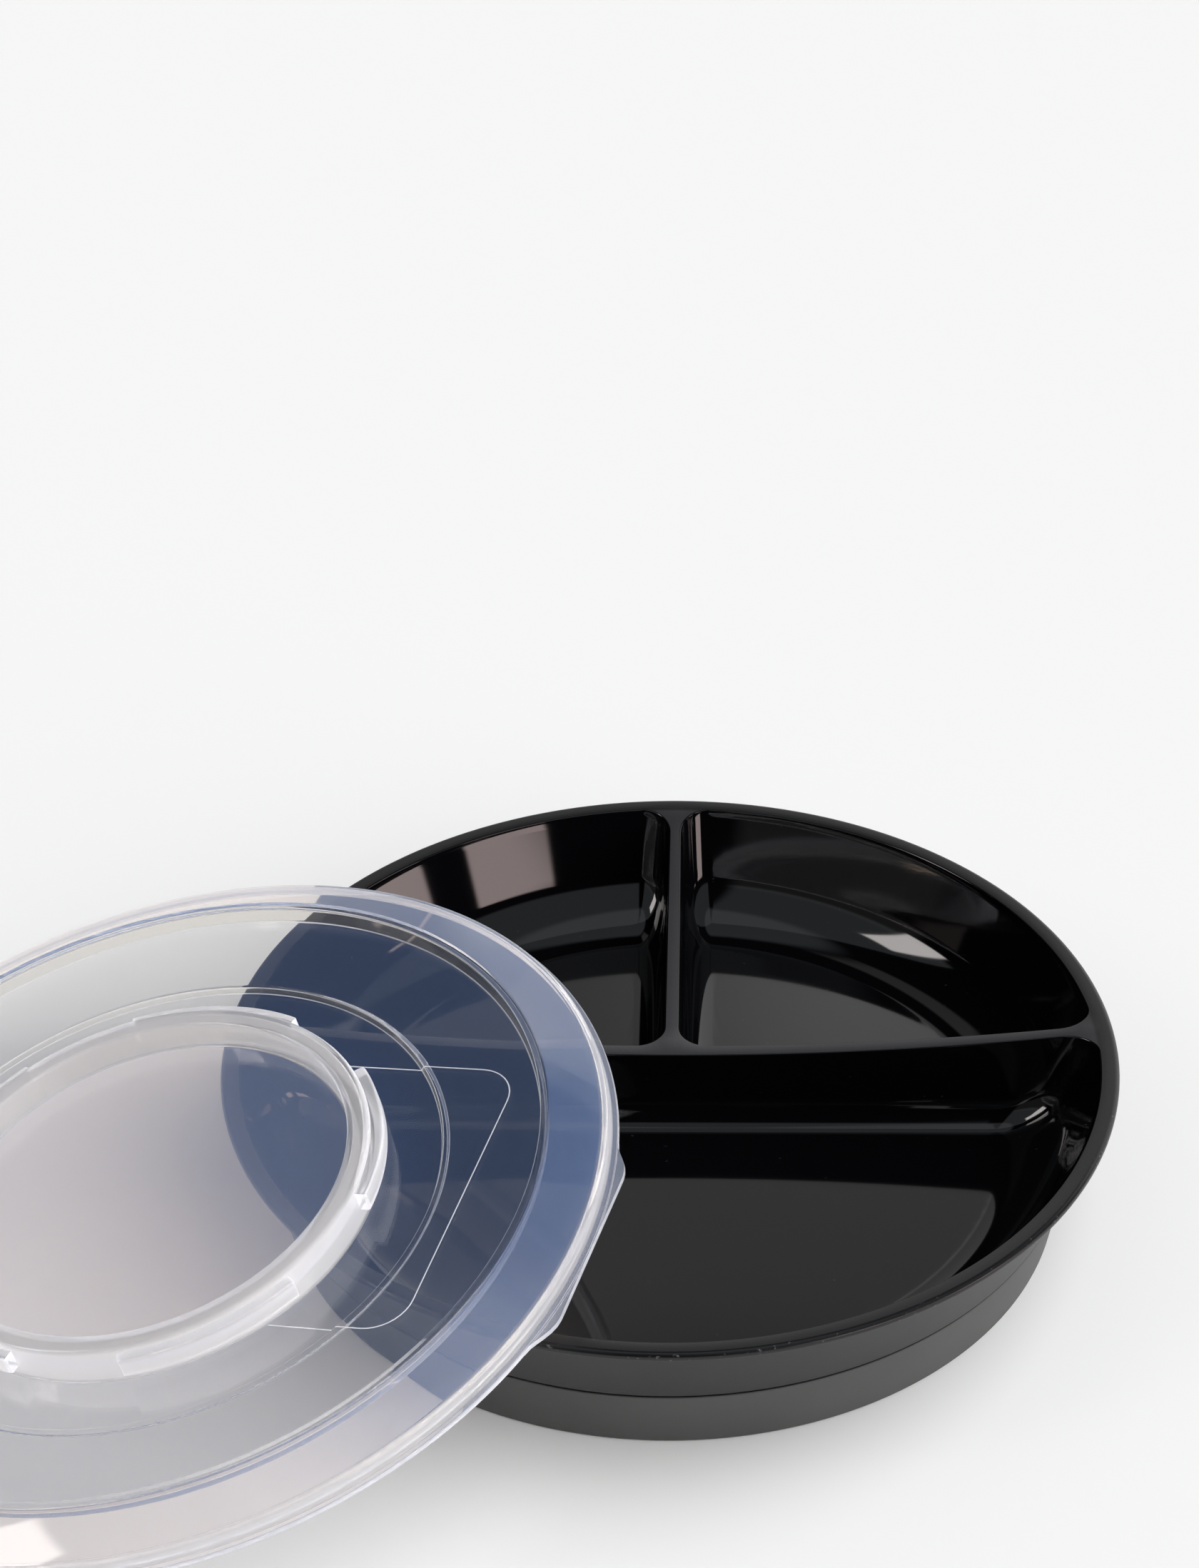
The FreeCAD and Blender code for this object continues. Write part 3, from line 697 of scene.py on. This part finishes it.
# %% [markdown]
# ## Finishes
# Every finish starts from a colour as it is written on a colour card, in sRGB, and one function turns
# it to the linear numbers that Blender works in. Another adds a node, sets it and links it.
# The scale of a noise is written as so many spots to the millimetre.


# %% Add colours and nodes
def paint(card):
    """A colour card value such as #20252b as linear numbers."""
    parts = [int(card[k : k + 2], 16) / 255 for k in (1, 3, 5)]
    return (*[p / 12.92 if p <= 0.04045 else ((p + 0.055) / 1.055) ** 2.4 for p in parts], 1.0)


def add_node(tree, kind, inputs=None, stops=None, **settings):
    """Adds one node; an input is a value or the socket that feeds it, stops colour a ramp."""
    made = tree.nodes.new(kind)
    for name, value in settings.items():
        setattr(made, name, value)
    for name, value in (inputs or {}).items():
        if isinstance(value, bpy.types.NodeSocket):
            tree.links.new(value, made.inputs[name])
        else:
            made.inputs[name].default_value = value
    for count, (at, card) in enumerate((stops or {}).items()):
        points = made.color_ramp.elements
        point = points[count] if count < 2 else points.new(at)
        point.position, point.color = at, paint(card)
    return made


def new_finish(name):
    """An empty material and its node tree."""
    finish = bpy.data.materials.new(name)
    finish.use_nodes = True
    finish.node_tree.nodes.clear()
    return finish, finish.node_tree


POLYPROPYLENE_IOR = 1.49

# %% [markdown]
# ## Polished black plastic
# The rooms are polypropylene, moulded in a mirror-bright tool. To the eye that is a deep black which
# shows only what it mirrors, with a faint swim in the reflections and a few grains of dust.
# One flat roughness would look like glass, so slow clouds vary it and bend the surface a little.

# %% Polished black polypropylene, moulded in a mirror-bright tool
CLOUDS, DUST = 0.045 / MM, 0.9 / MM  # a cloud in 22 mm; dust is finer, drawn at 1 mm so it shows
polished, tree = new_finish("polypropylene_black_polished")
place = add_node(tree, "ShaderNodeTexCoord").outputs["Object"]
cloud = add_node(tree, "ShaderNodeTexNoise", {"Vector": place, "Scale": CLOUDS, "Detail": 3.0})
dust = add_node(tree, "ShaderNodeTexNoise", {"Vector": place, "Scale": DUST, "Detail": 1.0})
speck = add_node(
    tree,
    "ShaderNodeMapRange",
    {"Value": dust.outputs["Fac"], "From Min": 0.77, "From Max": 0.83},
)
shade = add_node(
    tree,
    "ShaderNodeValToRGB",
    {"Fac": speck.outputs["Result"]},
    stops={0.0: "#060608", 1.0: "#262629"},
)
ripple = add_node(
    tree,
    "ShaderNodeBump",
    {"Height": cloud.outputs["Fac"], "Strength": 0.01, "Distance": 0.2 * MM},
)
gloss = add_node(
    tree,
    "ShaderNodeMapRange",
    {"Value": cloud.outputs["Fac"], "To Min": 0.03, "To Max": 0.08},
)
body = add_node(
    tree,
    "ShaderNodeBsdfPrincipled",
    {
        "Base Color": shade.outputs["Color"],
        "Roughness": gloss.outputs["Result"],
        "IOR": POLYPROPYLENE_IOR,
        "Normal": ripple.outputs["Normal"],
    },
)
add_node(tree, "ShaderNodeOutputMaterial", {"Surface": body.outputs["BSDF"]})
tray.data.materials[POLISHED] = polished
print(polished.name, "has", len(tree.nodes), "nodes")

# %% [markdown]
# ## Satin black plastic
# The top of the rim and of the dividers is the same plastic with a fine satin skin, which gives a soft
# grey sheen in place of a mirror. The dividers look greyer than the rim, and the rim's outer edge has
# small pale specks where it was rubbed. Painting a mask by hand would need an image, so the zones
# come from the distance to the axis.

# %% Measure how far each place of the tray is from its axis
satin, tree = new_finish("polypropylene_black_satin")
place = add_node(tree, "ShaderNodeTexCoord").outputs["Object"]
axes = add_node(tree, "ShaderNodeSeparateXYZ", {"Vector": place})
x_square = add_node(
    tree,
    "ShaderNodeMath",
    {0: axes.outputs["X"], 1: axes.outputs["X"]},
    operation="MULTIPLY",
)
square = add_node(
    tree,
    "ShaderNodeMath",
    {0: axes.outputs["Y"], 1: axes.outputs["Y"], 2: x_square.outputs["Value"]},
    operation="MULTIPLY_ADD",
)
radius = add_node(tree, "ShaderNodeMath", {0: square.outputs["Value"]}, operation="SQRT")
print("zones follow the radius, from the dividers out to the rim")

# %% Part the satin into dividers, rim and rubbed edge
RUBBED_FROM, RUBBED_FULL, RIM_FROM, RIM_FULL = 88.7 * MM, 89.4 * MM, 85.6 * MM, 86.4 * MM
CHIPS = 1.1 / MM  # rubbed specks are about 0.3 mm wide, drawn at 0.9 mm so that they show
RIM_STOP = 0.3
edge = add_node(
    tree,
    "ShaderNodeMapRange",
    {"Value": radius.outputs["Value"], "From Min": RUBBED_FROM, "From Max": RUBBED_FULL},
)
chips = add_node(tree, "ShaderNodeTexNoise", {"Vector": place, "Scale": CHIPS, "Detail": 2.0})
chip = add_node(
    tree,
    "ShaderNodeMapRange",
    {"Value": chips.outputs["Fac"], "From Min": 0.66, "From Max": 0.76},
)
wear = add_node(
    tree,
    "ShaderNodeMath",
    {0: edge.outputs["Result"], 1: chip.outputs["Result"]},
    operation="MULTIPLY",
)
rim = add_node(
    tree,
    "ShaderNodeMapRange",
    {
        "Value": radius.outputs["Value"],
        "From Min": RIM_FROM,
        "From Max": RIM_FULL,
        "To Max": RIM_STOP,
    },
)
zone = add_node(
    tree,
    "ShaderNodeMath",
    {0: wear.outputs["Value"], 1: 1 - RIM_STOP, 2: rim.outputs["Result"]},
    operation="MULTIPLY_ADD",
)
shade = add_node(
    tree,
    "ShaderNodeValToRGB",
    {"Fac": zone.outputs["Value"]},
    stops={0.0: "#2b2b2e", RIM_STOP: "#0c0c0e", 1.0: "#58585b"},
)
print("satin colours:", len(shade.color_ramp.elements))

# %% Satin black polypropylene with pale rubbed specks on the rim's outer edge
FINE_GRAIN, CLOUDS = 2.2 / MM, 0.06 / MM  # real satin grain is under 0.1 mm, drawn at 0.45 mm
grain = add_node(tree, "ShaderNodeTexNoise", {"Vector": place, "Scale": FINE_GRAIN, "Detail": 2.0})
ripple = add_node(
    tree,
    "ShaderNodeBump",
    {"Height": grain.outputs["Fac"], "Strength": 0.1, "Distance": 0.1 * MM},
)
cloud = add_node(tree, "ShaderNodeTexNoise", {"Vector": place, "Scale": CLOUDS, "Detail": 3.0})
gloss = add_node(
    tree,
    "ShaderNodeMapRange",
    {"Value": cloud.outputs["Fac"], "To Min": 0.26, "To Max": 0.36},
)
body = add_node(
    tree,
    "ShaderNodeBsdfPrincipled",
    {
        "Base Color": shade.outputs["Color"],
        "Roughness": gloss.outputs["Result"],
        "IOR": POLYPROPYLENE_IOR,
        "Normal": ripple.outputs["Normal"],
    },
)
add_node(tree, "ShaderNodeOutputMaterial", {"Surface": body.outputs["BSDF"]})
tray.data.materials[SATIN] = satin
print(satin.name, "has", len(tree.nodes), "nodes")

# %% [markdown]
# ## Grained black plastic
# The outside of the tray comes from a spark-eroded tool, which leaves a fine grain. To the eye it is a
# dull charcoal with no reflections, a little greyer in patches where hands rub it. Real grain could
# be modelled, but at 0.1 mm it would need millions of faces, so it is a bump.

# %% Grained black polypropylene, from a spark-eroded tool
GRAIN, PATCHES = 1.8 / MM, 0.05 / MM  # grain drawn at 0.55 mm so that it shows; a patch in 20 mm
grained, tree = new_finish("polypropylene_black_grained")
place = add_node(tree, "ShaderNodeTexCoord").outputs["Object"]
grain = add_node(tree, "ShaderNodeTexNoise", {"Vector": place, "Scale": GRAIN, "Detail": 2.0})
ripple = add_node(
    tree,
    "ShaderNodeBump",
    {"Height": grain.outputs["Fac"], "Strength": 0.15, "Distance": 0.1 * MM},
)
cloud = add_node(tree, "ShaderNodeTexNoise", {"Vector": place, "Scale": PATCHES, "Detail": 4.0})
shade = add_node(
    tree,
    "ShaderNodeValToRGB",
    {"Fac": cloud.outputs["Fac"]},
    stops={0.0: "#1d1d20", 1.0: "#28282a"},
)
body = add_node(
    tree,
    "ShaderNodeBsdfPrincipled",
    {
        "Base Color": shade.outputs["Color"],
        "Roughness": 0.48,
        "IOR": POLYPROPYLENE_IOR,
        "Normal": ripple.outputs["Normal"],
    },
)
add_node(tree, "ShaderNodeOutputMaterial", {"Surface": body.outputs["BSDF"]})
tray.data.materials[GRAINED] = grained
print(grained.name, "has", len(tree.nodes), "nodes")

# %% [markdown]
# ## Soft grip rubber
# The skirt is thermoplastic rubber, moulded with a matt skin. To the eye it is a warm dark grey that
# scatters the light, so it looks paler than the black plastic above it and shows no highlights.
# Sheen could give the same dusty look, but a rough surface with uneven colour is enough here.

# %% Soft grey-black thermoplastic rubber, moulded with a matt skin
SKIN, PATCHES = 1.6 / MM, 0.04 / MM  # skin drawn at 0.6 mm so that it shows; a patch in 25 mm
rubber, tree = new_finish("thermoplastic_rubber_matt")
place = add_node(tree, "ShaderNodeTexCoord").outputs["Object"]
grain = add_node(tree, "ShaderNodeTexNoise", {"Vector": place, "Scale": SKIN, "Detail": 2.0})
cloud = add_node(tree, "ShaderNodeTexNoise", {"Vector": place, "Scale": PATCHES, "Detail": 4.0})
ripple = add_node(
    tree,
    "ShaderNodeBump",
    {"Height": grain.outputs["Fac"], "Strength": 0.15, "Distance": 0.1 * MM},
)
shade = add_node(
    tree,
    "ShaderNodeValToRGB",
    {"Fac": cloud.outputs["Fac"]},
    stops={0.0: "#414241", 1.0: "#505150"},
)
body = add_node(
    tree,
    "ShaderNodeBsdfPrincipled",
    {
        "Base Color": shade.outputs["Color"],
        "Roughness": 0.55,
        "IOR": 1.5,
        "Normal": ripple.outputs["Normal"],
    },
)
add_node(tree, "ShaderNodeOutputMaterial", {"Surface": body.outputs["BSDF"]})
skirt.data.materials.append(rubber)
print(rubber.name, "has", len(tree.nodes), "nodes")

# %% [markdown]
# ## Clouded clear plastic
# The lid is unfilled polypropylene, which is never quite clear: small crystals in it scatter blue light
# back, so it looks like blue smoke over black and a little warm over white. Frosted glass would blur
# what lies behind, and the real lid doesn't. So a smooth clear body lets the rest of the light
# through, and a veil is added to it, as strong as the haze written on the face.
# Glass stops a lamp's direct light in Blender, so shadow rays pass through a plain transparent sheet.

# %% Read the haze as veil, body and shadow colours
CLOUDS = 0.07 / MM  # a cloud in 14 mm
clear, tree = new_finish("polypropylene_clear_clouded")
share = add_node(tree, "ShaderNodeAttribute", attribute_name="haze").outputs["Fac"]
veil, through, shadow = (
    add_node(tree, "ShaderNodeValToRGB", {"Fac": share}, stops=stops).outputs["Color"]
    for stops in (
        {0.20: "#8fb6ff", 0.34: "#f4f4f6"},
        {0.10: "#e8e4dc", 0.20: "#f3e4cd", 0.36: "#908e8e"},
        {0.20: "#fefefe", 0.40: "#f2f2f2"},
    )
)
place = add_node(tree, "ShaderNodeTexCoord").outputs["Object"]
cloud = add_node(tree, "ShaderNodeTexNoise", {"Vector": place, "Scale": CLOUDS, "Detail": 4.0})
gloss = add_node(
    tree,
    "ShaderNodeMapRange",
    {"Value": cloud.outputs["Fac"], "To Min": 0.02, "To Max": 0.05},
)
print("lid colours follow the haze, in", len(tree.nodes), "nodes")

# %% Clouded clear polypropylene, moulded thin
plastic = add_node(
    tree,
    "ShaderNodeBsdfPrincipled",
    {
        "Base Color": through,
        "Roughness": gloss.outputs["Result"],
        "IOR": POLYPROPYLENE_IOR,
        "Transmission Weight": 1.0,
    },
)
front = add_node(tree, "ShaderNodeBsdfDiffuse", {"Color": veil})
behind = add_node(tree, "ShaderNodeBsdfTranslucent", {"Color": paint("#f4f4f5")})
milk = add_node(
    tree,
    "ShaderNodeMixShader",
    {0: 0.5, 1: front.outputs["BSDF"], 2: behind.outputs["BSDF"]},
)
smoke = add_node(tree, "ShaderNodeMixShader", {0: share, 2: milk.outputs["Shader"]})
body = add_node(
    tree,
    "ShaderNodeAddShader",
    {0: plastic.outputs["BSDF"], 1: smoke.outputs["Shader"]},
)
shadow_ray = add_node(tree, "ShaderNodeLightPath").outputs["Is Shadow Ray"]
open_way = add_node(tree, "ShaderNodeBsdfTransparent", {"Color": shadow})
surface = add_node(
    tree,
    "ShaderNodeMixShader",
    {0: shadow_ray, 1: body.outputs["Shader"], 2: open_way.outputs["BSDF"]},
)
add_node(tree, "ShaderNodeOutputMaterial", {"Surface": surface.outputs["Shader"]})
lid.data.materials.clear()
lid.data.materials.append(clear)
print(clear.name, "has", len(tree.nodes), "nodes")

# %% [markdown]
# ## The floor
# The object stands on a plain pale sheet, which keeps its shadow. A bent backdrop would show its bend
# in the polished rooms, so the sheet is a flat disc, wide enough to fill the view.

# %% Lay the floor
FLOOR_RADIUS = 14  # metres
bpy.ops.object.select_all(action="DESELECT")
bpy.ops.mesh.primitive_circle_add(
    vertices=96, radius=FLOOR_RADIUS, fill_type="NGON", location=(0, 0, 0)
)
floor = bpy.context.object
floor.name = "floor_sheet"
sheet, tree = new_finish("matt_white_paper")
body = add_node(tree, "ShaderNodeBsdfDiffuse", {"Color": paint("#f5f5f5")})
add_node(tree, "ShaderNodeOutputMaterial", {"Surface": body.outputs["BSDF"]})
floor.data.materials.append(sheet)
print("floor laid:", 2 * FLOOR_RADIUS, "m across")

# %% [markdown]
# ## The lamps
# The shadow in the photograph falls softly to the left, so a very broad key light stands low on the
# right, and a weak fill overhead. Area lamps near the object would make the sheet uneven, so both
# are sun lamps with a wide angle. They are hidden from mirrors and from light that comes through
# the lid, because the studio that is painted next is what those should show.


# %% Set the lamps
def add_lamp(name, azimuth, elevation, width, light):
    """A far soft lamp; light is its share of the brightness of a level white sheet."""
    a, e = math.radians(azimuth), math.radians(elevation)
    way = Vector((math.cos(a) * math.cos(e), math.sin(a) * math.cos(e), math.sin(e)))
    bpy.ops.object.light_add(type="SUN", location=way * 2)
    lamp = bpy.context.object
    lamp.name = name
    lamp.rotation_euler = way.to_track_quat("Z", "Y").to_euler()
    lamp.data.energy = light * math.pi / math.sin(e)
    lamp.data.angle = math.radians(width)
    lamp.visible_glossy = lamp.visible_transmission = False
    print(name, "set at", azimuth, "degrees round and", elevation, "degrees up")


add_lamp("key_lamp", -8, 36, 100, 0.70)
add_lamp("fill_lamp", 0, 80, 150, 0.23)

# %% [markdown]
# ## The studio that is mirrored
# The polished rooms mirror the studio, so the studio is painted all round as panels of light: a grey
# wall behind, a pale ceiling, a bright soft box on the left and a low window on the right.
# A photograph of a room is the usual way, but this lesson uses no images. Each panel is a range of
# azimuth and elevation with soft edges. The panels are for mirrors: other rays see little of them.

# %% Read the direction that a ray leaves in
world = bpy.data.worlds.new("studio")
bpy.context.scene.world = world
world.use_nodes = True
tree = world.node_tree
tree.nodes.clear()
way = add_node(tree, "ShaderNodeTexCoord").outputs["Generated"]
axes = add_node(tree, "ShaderNodeSeparateXYZ", {"Vector": way})
azimuth = add_node(
    tree,
    "ShaderNodeMath",
    {0: axes.outputs["Y"], 1: axes.outputs["X"]},
    operation="ARCTAN2",
).outputs["Value"]
elevation = add_node(
    tree, "ShaderNodeMath", {0: axes.outputs["Z"]}, operation="ARCSINE"
).outputs["Value"]


def between(angle, low, high, soft):
    """1 where the angle lies between two angles in degrees, falling to 0 over a soft edge."""
    rise, fall = (
        add_node(
            tree,
            "ShaderNodeMapRange",
            {"Value": angle, "From Min": math.radians(dark), "From Max": math.radians(full)},
            interpolation_type="SMOOTHSTEP",
        ).outputs["Result"]
        for dark, full in ((low - soft, low), (high + soft, high))
    )
    both = add_node(tree, "ShaderNodeMath", {0: rise, 1: fall}, operation="MULTIPLY")
    return both.outputs["Value"]


print("directions read; 0 degrees is to the right and 90 behind")

# %% Paint the studio round the object
UNMIRRORED = 0.15  # the share of the panels that rays other than mirrored ones see
PANELS = (  # colour, light, azimuths, elevations, softness of the sides and of the heights
    ("#ffffff", 0.53, (28, 104), (-5, 41), 4, 3),  # the wall behind
    ("#ffffff", 0.62, (28, 88), (-5, 37.9), 5, 1.5),  # the lighter part of that wall
    ("#f4fbff", 0.40, (-180, -110), (32, 100), 5, 5),  # the ceiling on the left
    ("#f4fbff", 0.40, (-80, 20), (32, 100), 5, 5),  # the ceiling on the right
    ("#f4fbff", 0.42, (-180, 180), (72, 100), 1, 6),  # the ceiling overhead
    ("#fffaf8", 0.35, (118, 134), (48, 62), 6, 6),  # a dim soft box behind on the left
    ("#fff8f6", 9.00, (-174, -161), (26, 50), 1.5, 2),  # the bright soft box on the left
    ("#ffe9e6", 5.20, (-57, -37), (1, 12), 1.5, 3),  # the low window, first pane
    ("#ffe9e6", 5.20, (-23, -8), (1, 12), 1.5, 3),  # the low window, second pane
    ("#ffffff", 0.15, (-160, -110), (0, 30), 6, 6),  # the dim front on the left
)
mirrored = add_node(tree, "ShaderNodeLightPath").outputs["Is Glossy Ray"]
share = add_node(
    tree, "ShaderNodeMapRange", {"Value": mirrored, "To Min": UNMIRRORED, "To Max": 1.0}
).outputs["Result"]
studio = None
for card, light, sides, heights, soft_sides, soft_heights in PANELS:
    shape = add_node(
        tree,
        "ShaderNodeMath",
        {0: between(azimuth, *sides, soft_sides), 1: between(elevation, *heights, soft_heights)},
        operation="MULTIPLY",
    ).outputs["Value"]
    bright = add_node(tree, "ShaderNodeMath", {0: shape, 1: light}, operation="MULTIPLY")
    glow = add_node(
        tree, "ShaderNodeMath", {0: bright.outputs["Value"], 1: share}, operation="MULTIPLY"
    )
    panel = add_node(
        tree,
        "ShaderNodeBackground",
        {"Color": paint(card), "Strength": glow.outputs["Value"]},
    ).outputs["Background"]
    if studio is None:
        studio = panel
    else:
        studio = add_node(tree, "ShaderNodeAddShader", {0: studio, 1: panel}).outputs["Shader"]
add_node(tree, "ShaderNodeOutputWorld", {"Surface": studio})
print("studio painted:", len(PANELS), "panels")

# %% [markdown]
# ## The camera
# The photograph was taken from the front and above, with a long lens, and the object sits low in the
# picture. Turning the camera up would tilt the view, so the picture is shifted instead, as with a
# view camera. The numbers come from fitting the outlines of the rim, the foot and the lid.

# %% Stand the camera where the photograph was taken
TARGET, AWAY = Vector((0, 0, 19.15)) * MM, 939.03 * MM
ASIDE, ABOVE, ROLL = math.radians(-89.0), 0.67649, -0.00826
SENSOR, FOCAL_PIXELS, PICTURE_HIGH = 36, 6500, 2197
SHIFT = (-0.04554, 0.20719)
level = math.cos(ABOVE)
back = Vector((math.cos(ASIDE) * level, math.sin(ASIDE) * level, math.sin(ABOVE)))
bpy.ops.object.camera_add(location=TARGET + back * AWAY)
camera = bpy.context.object
camera.rotation_mode = "QUATERNION"
roll = Matrix.Rotation(ROLL, 3, "Z").to_quaternion()
camera.rotation_quaternion = back.to_track_quat("Z", "Y") @ roll
camera.data.sensor_width = SENSOR
camera.data.lens = FOCAL_PIXELS * SENSOR / PICTURE_HIGH
camera.data.shift_x, camera.data.shift_y = SHIFT
bpy.context.scene.camera = camera
bpy.context.scene.view_settings.view_transform = "Standard"
print("camera lens in mm:", round(camera.data.lens, 1))

# %% [markdown]
# ## Tie the pieces to the mechanism
# Each piece rides on the body of its solid and hides that solid, so the lid lifts off as one.

# %% Tie each piece to the body of its solid and hide the solid
for piece, body_name, node, slot in (
    (tray, "plate", "divided_tray", "tray"),
    (skirt, "plate", "grip_skirt", "grip"),
    (lid, "cover", "lid", "lid"),
):
    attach(piece, body_name)
    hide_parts(node)
    print(piece.name, "has", sum(len(face.vertices) - 2 for face in piece.data.polygons), "triangles")
